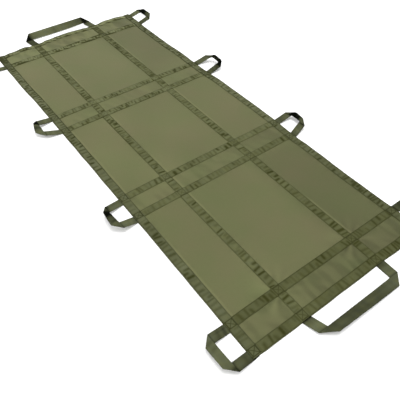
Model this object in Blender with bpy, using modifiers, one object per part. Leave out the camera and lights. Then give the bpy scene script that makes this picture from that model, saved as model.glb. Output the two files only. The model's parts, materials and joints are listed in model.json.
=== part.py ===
"""A disposable soft stretcher, laid open on the floor.

A cloth sheet carries twelve sewn webbing straps: two along its long edges, two inside them, and
eight across it in four pairs. Each pair of cross straps makes a carrying loop at either side, and the
two inner straps make a wide handle at either end. The loops are folded at their corners, as flat
webbing is when it turns through a right angle.

Metres, +Z up. The origin is the middle of the sheet's underside, Y runs along the sheet, and the far
end is at +Y. Each loop turns about the sheet's edge, where its two legs leave the sheet.
"""
import math

import bmesh
import bpy
from mathutils import Matrix, Vector

# Sheet
SHEET_LENGTH = 2.00
SHEET_WIDTH = 0.78
SHEET_THICKNESS = 0.0006

# Webbing
STRAP_WIDTH = 0.034
HANDLE_WIDTH = 0.038
WEBBING_THICKNESS = 0.0012
SELVAGE_WIDTH = 0.0010
SELVAGE_SHARE = 0.45
GAP = 0.0003

# Places of the straps on the sheet
STRAP_MARGIN = 0.0015
STRAP_END_MARGIN = 0.0005
LONG_STRAP_SPACING = 0.340
LONG_STRAP_SHIFT = -0.015
PAIR_SPACING = 0.105
MIDDLE_PAIR_PLACE = 0.2985
CLIMB_LENGTH = 0.008

# Loops and handles: from the sheet's edge to the inner edge of the grip
LOOP_LEG = 0.066
HANDLE_LEG = 0.056
GRIP_BEND_LENGTH = 0.016
ROOT_REACH = 0.0005

# How each loop lies, seen from the sheet with the first leg on the left-hand side at the far end: its
# shift along the edge, and in degrees how far its two legs lean in towards each other, how they
# rise, and the slope of the grip at each leg
LEFT_LOOP_LIES = (
    (0.0000, (4, 4), (6, 5), (8, 10)),
    (0.0045, (9, 11), (13, 15), (-3, 56)),
    (-0.0105, (-7, 11), (22, 10), (11, 47)),
    (-0.0045, (-4, 1), (15, 8), (13, 13)),
)
RIGHT_LOOP_LIES = (
    (0.0000, (-18, 20), (2, 2), (6, 6)),
    (-0.0085, (11, 1), (21, 17), (8, -3)),
    (-0.0050, (2, 15), (14, 15), (8, -10)),
    (-0.0030, (4, 6), (10, 12), (8, 4)),
)
FAR_HANDLE_LIE = (0.0, (-11, 12), (3, 4), (33, 92))
NEAR_HANDLE_LIE = (0.0, (2, 13), (0, 7), (0, 22))

# Mesh steps
CLIMB_STEPS = 4
FOLD_STEPS = 6
LEG_STEPS = 3
TURN_STEPS = 4
TURN_SHARE = 0.9
GRIP_STEPS = 4
WIDTH_STEPS = 4

HALF_LENGTH = SHEET_LENGTH / 2
HALF_WIDTH = SHEET_WIDTH / 2
LAYER = WEBBING_THICKNESS + GAP
FIRST_LAYER = SHEET_THICKNESS + GAP + WEBBING_THICKNESS / 2
AXIS_OFFSET = WEBBING_THICKNESS / 2 + GAP
END_STRAP_PLACE = HALF_LENGTH - STRAP_MARGIN - STRAP_WIDTH / 2
EDGE_STRAP_PLACE = HALF_WIDTH - STRAP_MARGIN - STRAP_WIDTH / 2
LONG_STRAP_PLACES = (
    LONG_STRAP_SHIFT - LONG_STRAP_SPACING / 2,
    LONG_STRAP_SHIFT + LONG_STRAP_SPACING / 2,
)
PAIR_PLACES = (
    END_STRAP_PLACE - PAIR_SPACING / 2,
    MIDDLE_PAIR_PLACE,
    -MIDDLE_PAIR_PLACE,
    -END_STRAP_PLACE + PAIR_SPACING / 2,
)
CROSS_STRAP_PLACES = tuple(
    place + side * PAIR_SPACING / 2 for place in PAIR_PLACES for side in (1, -1)
)

COLLECTION_NAME = "disposable_stretcher"


def clear_scene():
    """Starts from an empty scene."""
    for thing in list(bpy.data.objects):
        bpy.data.objects.remove(thing, do_unlink=True)


def make_collection():
    """The collection that holds the parts."""
    collection = bpy.data.collections.new(COLLECTION_NAME)
    bpy.context.scene.collection.children.link(collection)
    return collection


def fabric_material(name, colour, roughness):
    """A cloth material of one colour."""
    material = bpy.data.materials.new(name)
    material.use_nodes = True
    shader = material.node_tree.nodes["Principled BSDF"]
    shader.inputs["Base Color"].default_value = (*colour, 1.0)
    shader.inputs["Roughness"].default_value = roughness
    shader.inputs["Metallic"].default_value = 0.0
    return material


def smooth_step(share):
    """Runs from 0 to 1 with a level start and end."""
    share = min(max(share, 0.0), 1.0)
    return share * share * (3.0 - 2.0 * share)


def spread(start, end, steps):
    """Evenly spaced values after start, up to and including end."""
    return [start + (end - start) * step / steps for step in range(1, steps + 1)]


def across_stations(width):
    """Places across a piece of webbing, with a narrow step at each selvage."""
    inner = width / 2 - SELVAGE_WIDTH
    return [-width / 2, -inner, *spread(-inner, inner, WIDTH_STEPS), width / 2]


def webbing(name, material, rows, width, point_at):
    """A strip of webbing: point_at gives each place of the middle surface from (row, across)."""
    across = across_stations(width)
    mesh = bpy.data.meshes.new(name)
    grid = bmesh.new()
    row_count = len(rows) - 1
    column_count = len(across) - 1
    bmesh.ops.create_grid(grid, x_segments=row_count, y_segments=column_count, size=1.0)
    selvage = []
    for vertex in grid.verts:
        row = round((vertex.co.x + 1) / 2 * row_count)
        column = round((vertex.co.y + 1) / 2 * column_count)
        if column in (0, column_count):
            selvage.append(vertex.index)
        vertex.co = point_at(rows[row], across[column])
    grid.to_mesh(mesh)
    grid.free()
    mesh.shade_smooth()
    mesh.materials.append(material)
    strip = bpy.data.objects.new(name, mesh)
    inside = strip.vertex_groups.new(name="full_thickness")
    kept = sorted(set(range(len(mesh.vertices))) - set(selvage))
    inside.add(kept, 1.0, "REPLACE")
    solidify = strip.modifiers.new("thickness", "SOLIDIFY")
    solidify.thickness = WEBBING_THICKNESS
    solidify.offset = 0.0
    solidify.use_even_offset = True
    solidify.use_quality_normals = True
    solidify.vertex_group = inside.name
    solidify.thickness_vertex_group = SELVAGE_SHARE
    return strip


def sheet(collection, material):
    """The cloth that the patient lies on."""
    bpy.ops.mesh.primitive_cube_add(size=1.0)
    cloth = bpy.context.object
    cloth.name = "litter_sheet"
    cloth.data.name = cloth.name
    size = Matrix.Diagonal((SHEET_WIDTH, SHEET_LENGTH, SHEET_THICKNESS, 1.0))
    cloth.data.transform(Matrix.Translation((0, 0, SHEET_THICKNESS / 2)) @ size)
    cloth.data.materials.append(material)
    for owner in list(cloth.users_collection):
        owner.objects.unlink(cloth)
    collection.objects.link(cloth)
    return cloth


def climb_height(place, crossed, width):
    """How far a strap is lifted at a place along it by the straps that it crosses."""
    height = 0.0
    for centre in crossed:
        beyond = abs(place - centre) - width / 2 - GAP
        height = max(height, LAYER * (1.0 - smooth_step(beyond / CLIMB_LENGTH)))
    return height


def strap_rows(half_length, crossed, width):
    """Stations along a strap: its ends, and the foot, slope and top of each climb."""
    rows = {-half_length, half_length}
    for centre in crossed:
        top = width / 2 + GAP
        for step in range(CLIMB_STEPS + 1):
            reach = top + CLIMB_LENGTH * step / CLIMB_STEPS
            rows.update((centre - reach, centre + reach))
    inside = sorted(row for row in rows if abs(row) <= half_length)
    kept = inside[:1]
    for row in inside[1:]:
        if row - kept[-1] > GAP:
            kept.append(row)
    kept[-1] = half_length
    return kept


def long_straps(collection, material):
    """The straps that run along the sheet: two flat ones inside, and two over the cross straps' ends."""
    edge_half = HALF_LENGTH - STRAP_MARGIN
    inner_half = HALF_LENGTH - STRAP_END_MARGIN
    for name, place, half_length, crossed in (
        ("edge_strap_left", -EDGE_STRAP_PLACE, edge_half, CROSS_STRAP_PLACES),
        ("long_strap_left", LONG_STRAP_PLACES[0], inner_half, ()),
        ("long_strap_right", LONG_STRAP_PLACES[1], inner_half, ()),
        ("edge_strap_right", EDGE_STRAP_PLACE, edge_half, CROSS_STRAP_PLACES),
    ):

        def point_at(row, across, crossed=crossed):
            return Vector((across, row, climb_height(row, crossed, STRAP_WIDTH)))

        rows = strap_rows(half_length, crossed, STRAP_WIDTH)
        strap = webbing(name, material, rows, STRAP_WIDTH, point_at)
        strap.location = (place, 0, FIRST_LAYER)
        collection.objects.link(strap)


def cross_straps(collection, material):
    """The eight straps across the sheet, which climb over the two inner long straps."""

    def point_at(row, across):
        return Vector((row, across, climb_height(row, LONG_STRAP_PLACES, STRAP_WIDTH)))

    rows = strap_rows(HALF_WIDTH - STRAP_END_MARGIN, LONG_STRAP_PLACES, STRAP_WIDTH)
    for number, place in enumerate(CROSS_STRAP_PLACES, start=1):
        strap = webbing(f"cross_strap_{number}", material, rows, STRAP_WIDTH, point_at)
        strap.location = (0, place, FIRST_LAYER)
        collection.objects.link(strap)


def fold_over(beyond):
    """Folds webbing back over itself: from the distance beyond the fold line, the new distance and
    the height."""
    radius = LAYER / 2
    half_turn = math.pi * radius / 2
    if beyond <= -half_turn:
        return beyond, 0.0
    if beyond >= half_turn:
        return -beyond, LAYER
    turn = (beyond + half_turn) / radius
    return radius * math.sin(turn) - half_turn, radius * (1.0 - math.cos(turn))


def flat_loop_point(along, across, spacing, corner):
    """A point of the loop laid flat: places along the edge and out from it, and height over the legs.

    The webbing goes out to the first corner, is folded over there at 45 degrees, runs along the edge
    as the grip, and is folded under at the second corner to come back.
    """
    root_two = math.sqrt(2.0)
    fold_zone = math.pi * LAYER / 4
    past_second = (along - corner - spacing + across) / root_two
    if past_second > -fold_zone:
        beside = (along - corner - spacing - across) / root_two
        beyond, height = fold_over(past_second)
        sideways = spacing / 2 + (beside + beyond) / root_two
        outward = corner + (beyond - beside) / root_two
        return sideways, outward, LAYER - height
    past_first = (along - corner - across) / root_two
    beside = (along - corner + across) / root_two
    beyond, height = fold_over(past_first)
    sideways = -spacing / 2 + (beside - beyond) / root_two
    outward = corner + (beside + beyond) / root_two
    return sideways, outward, height


def rise(outward, height, leg, leg_slope, grip_slope):
    """Bends the flat loop upwards: straight legs, then an even bend into the slope of the grip."""
    start = leg - GRIP_BEND_LENGTH / 2
    straight = min(outward, start)
    bent = min(max(outward - start, 0.0), GRIP_BEND_LENGTH)
    rest = max(outward - start - GRIP_BEND_LENGTH, 0.0)
    half_turn = (grip_slope - leg_slope) / 2 * bent / GRIP_BEND_LENGTH
    chord = bent * math.sin(half_turn) / half_turn if half_turn else bent
    slope = leg_slope + 2 * half_turn
    reach = lift = 0.0
    for length, angle in (
        (straight, leg_slope), (chord, leg_slope + half_turn), (rest, slope), (height, slope + math.pi / 2)
    ):
        reach += length * math.cos(angle)
        lift += length * math.sin(angle)
    return reach, lift


def loop_rows(spacing, width, corner):
    """Rows of a loop's webbing as (place, skew): square at the roots, at 45 degrees on the folds."""
    fold_half = math.pi * LAYER / 4 * math.sqrt(2.0)
    turn_length = width * TURN_SHARE
    first_in = corner - fold_half
    first_out = corner + fold_half
    second_in = corner + spacing - fold_half
    second_out = corner + spacing + fold_half
    end = 2 * corner + spacing + ROOT_REACH
    rows = [(-ROOT_REACH, 0.0)]
    for start, stop, skew_start, skew_stop, steps in (
        (-ROOT_REACH, first_in - turn_length, 0, 0, LEG_STEPS),
        (first_in - turn_length, first_in, 0, 1, TURN_STEPS),
        (first_in, first_out, 1, 1, FOLD_STEPS),
        (first_out, first_out + turn_length, 1, 0, TURN_STEPS),
        (first_out + turn_length, second_in - turn_length, 0, 0, GRIP_STEPS),
        (second_in - turn_length, second_in, 0, -1, TURN_STEPS),
        (second_in, second_out, -1, -1, FOLD_STEPS),
        (second_out, second_out + turn_length, -1, 0, TURN_STEPS),
        (second_out + turn_length, end, 0, 0, LEG_STEPS),
    ):
        places = spread(start, stop, steps)
        skews = spread(skew_start, skew_stop, steps)
        rows.extend(zip(places, skews))
    return rows


def between(pair, share):
    """A value part of the way from the first of a pair to the second."""
    share = min(max(share, 0.0), 1.0)
    return pair[0] + (pair[1] - pair[0]) * share


def carrying_loop(name, material, spacing, width, leg, angles):
    """A loop about its own hinge axis, which is its X axis; +Y points out from the sheet."""
    leans, rises, grip_slopes = ([math.radians(value) for value in pair] for pair in angles)
    slants = (math.tan(leans[0]), -math.tan(leans[1]))
    corner = leg + width / 2
    opening = spacing - width

    def point_at(row, across):
        place, skew = row
        sideways, outward, height = flat_loop_point(place + skew * across, across, spacing, corner)
        share = sideways / spacing + 0.5
        reach, lift = rise(outward, height, leg, between(rises, share), between(grip_slopes, share))
        leant = sideways + outward * between(slants, sideways / opening + 0.5)
        return Vector((leant, reach, lift))

    rows = loop_rows(spacing, width, corner)
    return webbing(name, material, rows, width, point_at)


def side_loops(collection, material):
    """Four loops at each side, each in line with a pair of cross straps."""
    leg = LOOP_LEG - AXIS_OFFSET
    for side, sign, lies in (("left", -1, LEFT_LOOP_LIES), ("right", 1, RIGHT_LOOP_LIES)):
        for number, (place, lie) in enumerate(zip(PAIR_PLACES, lies), start=1):
            shift, *angles = lie
            name = f"side_loop_{side}_{number}"
            loop = carrying_loop(name, material, PAIR_SPACING, STRAP_WIDTH, leg, angles)
            loop.location = (sign * (HALF_WIDTH + AXIS_OFFSET), place + shift, FIRST_LAYER)
            loop.rotation_euler.z = -sign * math.pi / 2
            collection.objects.link(loop)


def end_handles(collection, material):
    """A wide handle at each end, in line with the two inner long straps."""
    leg = HANDLE_LEG - AXIS_OFFSET
    for name, sign, lie in (
        ("end_handle_far", 1, FAR_HANDLE_LIE),
        ("end_handle_near", -1, NEAR_HANDLE_LIE),
    ):
        shift, *angles = lie
        handle = carrying_loop(name, material, LONG_STRAP_SPACING, HANDLE_WIDTH, leg, angles)
        handle.location = (LONG_STRAP_SHIFT + shift, sign * (HALF_LENGTH + AXIS_OFFSET), FIRST_LAYER)
        handle.rotation_euler.z = 0.0 if sign > 0 else math.pi
        collection.objects.link(handle)


def main():
    clear_scene()
    collection = make_collection()
    cloth_material = fabric_material("sheet_fabric", (0.190, 0.192, 0.105), 0.75)
    webbing_material = fabric_material("webbing", (0.105, 0.115, 0.050), 0.85)
    sheet(collection, cloth_material)
    long_straps(collection, webbing_material)
    cross_straps(collection, webbing_material)
    side_loops(collection, webbing_material)
    end_handles(collection, webbing_material)


main()
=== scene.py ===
"""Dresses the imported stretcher: its cloth, webbing, stitching and loops, with floor, light and camera.

Sizes are in metres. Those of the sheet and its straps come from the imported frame, and the others are
named here. Every piece is worked out from formulas. The cloth lies on the floor with soft swells, each
strap follows it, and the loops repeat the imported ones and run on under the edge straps.
"""
import json
import math
from collections import namedtuple

import bpy
import numpy as np
from mathutils import Matrix, Vector


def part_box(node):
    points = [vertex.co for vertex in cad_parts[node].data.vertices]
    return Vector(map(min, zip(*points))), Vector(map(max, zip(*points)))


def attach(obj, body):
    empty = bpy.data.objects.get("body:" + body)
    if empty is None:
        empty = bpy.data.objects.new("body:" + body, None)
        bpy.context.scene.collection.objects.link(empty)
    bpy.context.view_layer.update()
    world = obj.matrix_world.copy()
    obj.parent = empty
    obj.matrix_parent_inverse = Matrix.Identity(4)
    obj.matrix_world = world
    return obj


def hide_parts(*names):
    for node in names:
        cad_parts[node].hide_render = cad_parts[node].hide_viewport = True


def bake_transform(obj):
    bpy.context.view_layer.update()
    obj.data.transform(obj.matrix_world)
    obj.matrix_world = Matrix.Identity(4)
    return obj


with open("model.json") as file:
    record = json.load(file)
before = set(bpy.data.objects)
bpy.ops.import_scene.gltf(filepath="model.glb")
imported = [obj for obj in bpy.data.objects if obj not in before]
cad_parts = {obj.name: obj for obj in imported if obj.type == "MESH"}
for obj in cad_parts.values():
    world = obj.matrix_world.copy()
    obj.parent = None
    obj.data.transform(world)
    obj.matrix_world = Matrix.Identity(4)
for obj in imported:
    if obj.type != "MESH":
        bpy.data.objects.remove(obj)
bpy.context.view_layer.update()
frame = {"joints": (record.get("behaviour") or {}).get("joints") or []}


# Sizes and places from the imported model

X, Y, Z = range(3)
SIDES = ("left", "right")
DECIMALS = 6


def packed(node, axis):
    """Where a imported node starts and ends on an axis, to a micrometre."""
    return [round(corner[axis], DECIMALS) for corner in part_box(node)]


def packed_size(node, axis):
    """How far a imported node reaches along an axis."""
    low, high = packed(node, axis)
    return round(high - low, DECIMALS)


def packed_middle(node, axis):
    """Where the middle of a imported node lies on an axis."""
    return round(sum(packed(node, axis)) / 2, DECIMALS)


HALF_WIDTH = packed_size("litter_sheet", X) / 2
HALF_LENGTH = packed_size("litter_sheet", Y) / 2
SHEET_THICKNESS = packed_size("litter_sheet", Z)
STRAP_WIDTH = packed_size("long_strap_left", X)
WEBBING_THICKNESS = packed_size("long_strap_left", Z)
WEBBING_GAP = packed("long_strap_left", Z)[0] - SHEET_THICKNESS
LAYER = round(WEBBING_THICKNESS + WEBBING_GAP, DECIMALS)
EDGE_STRAP_PLACES = tuple(packed_middle(f"edge_strap_{side}", X) for side in SIDES)
EDGE_STRAP_HALF_LENGTH = packed_size("edge_strap_right", Y) / 2
LONG_STRAP_PLACES = tuple(packed_middle(f"long_strap_{side}", X) for side in SIDES)
LONG_STRAP_SPACING = round(LONG_STRAP_PLACES[1] - LONG_STRAP_PLACES[0], DECIMALS)
CROSS_STRAP_PLACES = tuple(packed_middle(f"cross_strap_{number}", Y) for number in range(1, 9))
PAIR_SPACING = round(CROSS_STRAP_PLACES[0] - CROSS_STRAP_PLACES[1], DECIMALS)
PAIR_PLACES = tuple(
    round((farther + nearer) / 2, DECIMALS)
    for farther, nearer in zip(CROSS_STRAP_PLACES[::2], CROSS_STRAP_PLACES[1::2])
)
HINGES = {joint["child"]: Vector(joint["pos_m"]) for joint in frame["joints"]}
HINGE_PAST_EDGE = round(HINGES["side_loop_right_1"].x - HALF_WIDTH, DECIMALS)

# Sizes of the loops and handles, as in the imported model
HANDLE_WIDTH = 0.038
LOOP_LEG = 0.066
HANDLE_LEG = 0.056
GRIP_BEND_LENGTH = 0.016

# How each loop lies, in degrees: its legs' lean and their rise, its grip's slope at each leg and its
# curl. Its tones, 0 light to 1 black, are at places along the webbing: 0 at the first root, 1 and 2 at
# the folds, 3 at the second root. The tones are the webbing's own tone with painted shade, black on
# the folds and faces that are turned away from the light
Lie = namedtuple("Lie", "leans rises grips curl tones")
LIES = {
    "side_loop_left_1": Lie((4, 4), (6, 5), (8, 10), 30, ((0, 0.40), (1, 0.50), (2, 0.55), (3, 0.45))),
    "side_loop_left_2": Lie((9, 11), (13, 15), (-3, 56), 50, (
        (0.3, 0.26), (0.9, 0.34), (1.3, 0.40), (1.40, 0.72), (1.62, 0.74), (1.70, 0.45),
        (1.76, 0.99), (2.14, 0.99), (2.20, 0.42), (3, 0.38),
    )),
    "side_loop_left_3": Lie((-7, 11), (22, 10), (11, 47), 35, (
        (0.2, 0.40), (0.5, 0.34), (0.85, 0.50), (1.15, 0.46), (1.30, 0.72), (1.60, 0.90),
        (1.69, 0.99), (1.86, 0.99), (1.90, 0.76), (2.16, 0.70), (2.5, 0.48), (3, 0.52),
    )),
    "side_loop_left_4": Lie((-4, 1), (15, 8), (13, 13), 20, (
        (0.2, 0.70), (0.6, 0.60), (0.95, 0.74), (1.1, 0.42), (1.6, 0.36), (2.05, 0.42), (2.2, 0.58),
        (3, 0.68),
    )),
    "side_loop_right_1": Lie((-18, 20), (2, 2), (6, 6), 60, (
        (0.6, 0.28), (0.84, 0.36), (0.93, 1.0), (1.58, 1.0), (1.74, 0.70), (1.90, 0.66), (2, 0.76),
        (2.3, 0.48), (3, 0.50),
    )),
    "side_loop_right_2": Lie((11, 1), (21, 17), (8, -3), 200, (
        (0.3, 0.50), (0.9, 0.34), (1.1, 0.50), (1.2, 0.99), (2.05, 0.99), (2.2, 0.76), (2.7, 0.66),
        (3, 0.66),
    )),
    "side_loop_right_3": Lie((2, 15), (14, 15), (8, -10), 110, (
        (0.3, 0.50), (0.9, 0.36), (1.0, 0.55), (1.06, 0.99), (1.66, 0.99), (1.82, 0.66), (2.1, 0.60),
        (2.3, 0.44), (3, 0.46),
    )),
    "side_loop_right_4": Lie((4, 6), (10, 12), (8, 4), 40, ((0, 0.62), (1, 0.60))),
    "end_handle_far": Lie((-11, 12), (3, 4), (33, 92), 12, (
        (0.2, 0.66), (0.70, 0.78), (0.76, 0.98), (1.03, 0.98), (1.07, 0.55), (1.13, 0.24), (1.38, 0.12),
        (1.44, 0.36), (1.52, 0.14), (1.80, 0.26), (1.92, 0.50), (1.945, 0.99), (2.02, 0.99),
        (2.10, 0.50), (3, 0.40),
    )),
    "end_handle_near": Lie((2, 13), (0, 7), (0, 22), 10, (
        (0.1, 0.62), (0.4, 0.40), (0.9, 0.46), (1.05, 0.48), (1.25, 0.58), (1.45, 0.64), (1.90, 0.66),
        (2.02, 0.62), (2.2, 0.34), (2.6, 0.28), (2.9, 0.50), (3, 0.74),
    )),
}

# How the sheet's outline leaves its straight lines: an edge, the middle and half length of a stretch on
# it, and how far out it lies there
BULGES = (
    ("left", 0.00, 2.40, 0.0025),
    ("left", 0.94, 0.50, 0.0045),
    ("left", -0.95, 0.45, 0.0028),
    ("right", 0.70, 0.22, -0.0048),
    ("right", -0.04, 0.34, 0.0078),
    ("right", -0.70, 0.20, -0.0026),
    ("far", -0.330, 0.060, -0.0050),
    ("far", 0.180, 0.480, 0.0085),
    ("near", -0.280, 0.100, 0.0022),
    ("near", -0.015, 0.300, 0.0015),
    ("near", 0.300, 0.150, 0.0045),
)


# Numbers and noise


def ease(share):
    """Runs from 0 to 1 with a level start and end."""
    share = np.clip(share, 0.0, 1.0)
    return share * share * (3.0 - 2.0 * share)


def lattice(ix, iy, seed):
    """A fixed scattered value from -1 to 1 for each cell."""
    mask = 0xFFFFFFFF
    n = (ix * 374761393 + iy * 668265263 + seed * 974634777) & mask
    n = ((n ^ (n >> 13)) * 1274126177) & mask
    return ((n ^ (n >> 16)) & 0xFFFF) / 32767.5 - 1.0


def noise(x, y, seed):
    """Smooth noise from -1 to 1 over cells of size 1."""
    x, y = np.broadcast_arrays(np.asarray(x, float), np.asarray(y, float))
    ix, iy = np.floor(x).astype(np.int64), np.floor(y).astype(np.int64)
    u, v = ease(x - ix), ease(y - iy)
    low = lattice(ix, iy, seed) * (1 - u) + lattice(ix + 1, iy, seed) * u
    high = lattice(ix, iy + 1, seed) * (1 - u) + lattice(ix + 1, iy + 1, seed) * u
    return low * (1 - v) + high * v


def window(distance, half, soft):
    """1 within half of the middle, falling to 0 over the soft margin."""
    return 1.0 - ease((np.abs(distance) - half) / soft)


def line_at(distance, half_width):
    """1 on a line, falling off smoothly to both sides."""
    return np.exp(-((distance / half_width) ** 2))


# The cloth's lie

# Where the roots of the loops and handles hold the cloth down: how deep in, and how far to each side
LOOP_ROOT_DEPTH = 0.07
LOOP_ROOT_HALF = 0.085
HANDLE_ROOT_DEPTH = 0.06
HANDLE_ROOT_HALF = 0.030
HELD_DOWN = 0.92
# Swells all over the sheet: depth, size across and along it, and seed
SWELLS = ((0.0007, 0.15, 0.21, 1), (0.0003, 0.06, 0.08, 2))
# Depth of the gathers between the straps of each pair, from the far end to the near one
PAIR_SWELLS = (0.0015, 0.0007, 0.0006, 0.0011)
# The hem at the far end: where it starts, its swells, and its pleats as middle and half length
HEM_START = 0.93
HEM_SWELL = 0.0020
PLEATS = ((-0.235, 0.05), (-0.015, 0.14), (0.275, 0.09))
PLEAT_HEIGHT = 0.0026
# Creases run out from the crossings on the seventh cross strap
SPOKES_PLACE = CROSS_STRAP_PLACES[6]
SPOKE_HEIGHT = 0.0007
# Where the outline starts to drift and over what depth, at the sides and at the ends
SIDE_DRIFT = (0.20, 0.17)
END_DRIFT = (0.89, 0.09)
SIDE_WAVER = 0.0009
FAR_WAVER = 0.0026
NEAR_WAVER = 0.0007


def near_root(x, y):
    """1 where a loop or handle leaves the sheet, 0 away from it."""
    side = ease((np.abs(x) - HALF_WIDTH + LOOP_ROOT_DEPTH) / 0.04)
    at_pair = sum(window(y - place, LOOP_ROOT_HALF, 0.05) for place in PAIR_PLACES)
    end = ease((np.abs(y) - HALF_LENGTH + HANDLE_ROOT_DEPTH) / 0.04)
    at_handle = sum(window(x - place, HANDLE_ROOT_HALF, 0.03) for place in LONG_STRAP_PLACES)
    return np.clip(side * at_pair + end * at_handle, 0.0, 1.0)


def about_crossing(x, y, place):
    """Distance and direction from where a long strap passes under the seventh cross strap."""
    aside, nearer = x - place, SPOKES_PLACE - y
    return np.hypot(aside, nearer), -np.arctan2(nearer, aside)


def cloth_height(x, y):
    """How far the cloth lifts off the floor."""
    swell = 0.0
    for depth, across, along, seed in SWELLS:
        swell = swell + depth * (1 + noise(x / across, y / along, seed))
    for number, (place, depth) in enumerate(zip(PAIR_PLACES, PAIR_SWELLS)):
        between = window(y - place, PAIR_SPACING / 2 - 0.012, 0.05)
        gathers = 1 + noise(x / 0.030 + 0.4 * np.sin(y * 20), y / 0.11, 10 + number)
        swell = swell + depth * between * gathers
    hem = ease((y - HEM_START) / 0.06)
    swell = swell + HEM_SWELL * hem * (1 + noise(x / 0.055, y / 0.3, 21))
    for middle, half in PLEATS:
        swell = swell + PLEAT_HEIGHT * hem * window(x - middle, 0.3 * half, 0.7 * half)
    for place in LONG_STRAP_PLACES:
        reach, turn = about_crossing(x, y, place)
        spokes = 1 + noise(turn * 3.2, reach / 0.08, 33)
        swell = swell + SPOKE_HEIGHT * line_at(reach - 0.045, 0.035) * spokes
    return swell * (1 - HELD_DOWN * near_root(x, y))


def drifted(x, y):
    """Places on the laid sheet, from the straight ones that it is cut to."""
    aside = ease((np.abs(x) - SIDE_DRIFT[0]) / SIDE_DRIFT[1])
    endwise = ease((np.abs(y) - END_DRIFT[0]) / END_DRIFT[1])
    move_x, move_y = 0.0 * x, 0.0 * y
    for edge, place, half, out in BULGES:
        sign = -1.0 if edge in ("left", "near") else 1.0
        if edge in SIDES:
            share = (sign * x > 0) * window(y - place, 0.45 * half, 0.55 * half)
            move_x = move_x + sign * out * share * aside
        else:
            share = (sign * y > 0) * window(x - place, 0.4 * half, 0.6 * half)
            move_y = move_y + sign * out * share * endwise
    loose = 1.0 - near_root(x, y)
    end_waver = np.where(y > 0, FAR_WAVER, NEAR_WAVER)
    move_x = move_x + SIDE_WAVER * aside * loose * noise(y / 0.060, np.sign(x) * 3.0, 71)
    move_y = move_y + end_waver * endwise * loose * noise(x / 0.045, np.sign(y) * 3.0, 72)
    return x + move_x, y + move_y


# Meshes


def make_object(name, points, faces, material, uvs=None, shades=None):
    """An object from points and faces, with UVs in metres and a shade for each point."""
    mesh = bpy.data.meshes.new(name)
    mesh.from_pydata(points.tolist(), [], faces)
    mesh.update()
    mesh.shade_smooth()
    mesh.materials.append(material)
    if uvs is not None:
        layer = mesh.uv_layers.new(name="UVMap")
        corners = np.empty(len(mesh.loops), np.int32)
        mesh.loops.foreach_get("vertex_index", corners)
        layer.data.foreach_set("uv", uvs[corners].astype(np.float32).ravel())
    if shades is not None:
        attribute = mesh.attributes.new("shade", "FLOAT", "POINT")
        attribute.data.foreach_set("value", shades.astype(np.float32))
    piece = bpy.data.objects.new(name, mesh)
    bpy.context.scene.collection.objects.link(piece)
    return piece


def grid_faces(rows, columns, first=0, flip=False):
    """Quads of a grid of points, row by row."""
    index = first + np.arange(rows * columns).reshape(rows, columns)
    quads = np.stack([index[:-1, :-1], index[:-1, 1:], index[1:, 1:], index[1:, :-1]], axis=-1)
    quads = quads.reshape(-1, 4)
    return (quads[:, ::-1] if flip else quads).tolist()


def rim_faces(rows, columns):
    """Quads that join the edges of a grid to those of a second grid that follows it."""
    index = np.arange(rows * columns).reshape(rows, columns)
    ring = np.concatenate([index[0, :-1], index[:-1, -1], index[-1, :0:-1], index[:0:-1, 0]])
    following = np.roll(ring, -1)
    other = rows * columns
    return np.stack([following, ring, ring + other, following + other], axis=-1).tolist()


def tube_faces(rows, columns, flip):
    """Quads round a tube given as rows of points, and a face at each end."""
    index = np.arange(rows * columns).reshape(rows, columns)
    beside = np.roll(index, -1, axis=1)
    quads = np.stack([index[:-1], beside[:-1], beside[1:], index[1:]], axis=-1).reshape(-1, 4)
    faces = [*quads.tolist(), index[0, ::-1].tolist(), index[-1].tolist()]
    return [face[::-1] for face in faces] if flip else faces


def slab(name, middle, half_thickness, material, uvs, shades):
    """A closed thin body about a surface given as a grid of points."""
    rows, columns = middle.shape[:2]
    along = np.gradient(middle, axis=0)
    across = np.gradient(middle, axis=1)
    normal = np.cross(along, across)
    normal /= np.linalg.norm(normal, axis=2, keepdims=True)
    offset = normal * half_thickness[..., None]
    points = np.concatenate([(middle + offset).reshape(-1, 3), (middle - offset).reshape(-1, 3)])
    faces = grid_faces(rows, columns, flip=True)
    faces += grid_faces(rows, columns, first=rows * columns)
    faces += rim_faces(rows, columns)
    both = [np.concatenate([values.reshape(rows * columns, -1)] * 2) for values in (uvs, shades)]
    return make_object(name, points, faces, material, both[0], both[1].ravel())


# Materials

CLOTH_WEAVE = 0.0011
TWILL_PITCH = 0.0019
HERRINGBONE_BAND = 0.0042
SHEEN_ROUGHNESS = 0.45
SHEEN_TINT = (0.62, 0.64, 0.40)
# The cloth's light and dark colours, each from a greener to a browner one
CLOTH_LIGHT = ((0.1135, 0.1238, 0.0490), (0.1255, 0.1215, 0.0545))
CLOTH_DARK = ((0.038, 0.044, 0.014), (0.044, 0.043, 0.017))
CLOTH_PATCHES = (0.32, 0.68)
THREAD_COLOURS = ((0.019, 0.022, 0.008), (0.036, 0.039, 0.017))
CLOTH_RELIEF = 0.00008
TWILL_RELIEF = 0.00012
THREAD_RELIEF = 0.0001


def fill(tree, node, inputs):
    """Gives inputs of a node a number, a colour or another node's output."""
    for label, value in inputs.items():
        slot = node.inputs[label]
        if isinstance(value, tuple):
            slot.default_value = (*value, 1.0)
        elif isinstance(value, (int, float)):
            slot.default_value = value
        else:
            tree.links.new(value, slot)


def new_material(name, colour, roughness, sheen, specular):
    """A cloth material, its node tree and its shader."""
    material = bpy.data.materials.new(name)
    material.use_nodes = True
    tree = material.node_tree
    shader = tree.nodes["Principled BSDF"]
    fill(tree, shader, {
        "Base Color": colour, "Roughness": roughness, "Specular IOR Level": specular,
        "Sheen Weight": sheen, "Sheen Roughness": SHEEN_ROUGHNESS, "Sheen Tint": SHEEN_TINT,
    })
    return material, tree, shader


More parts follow.
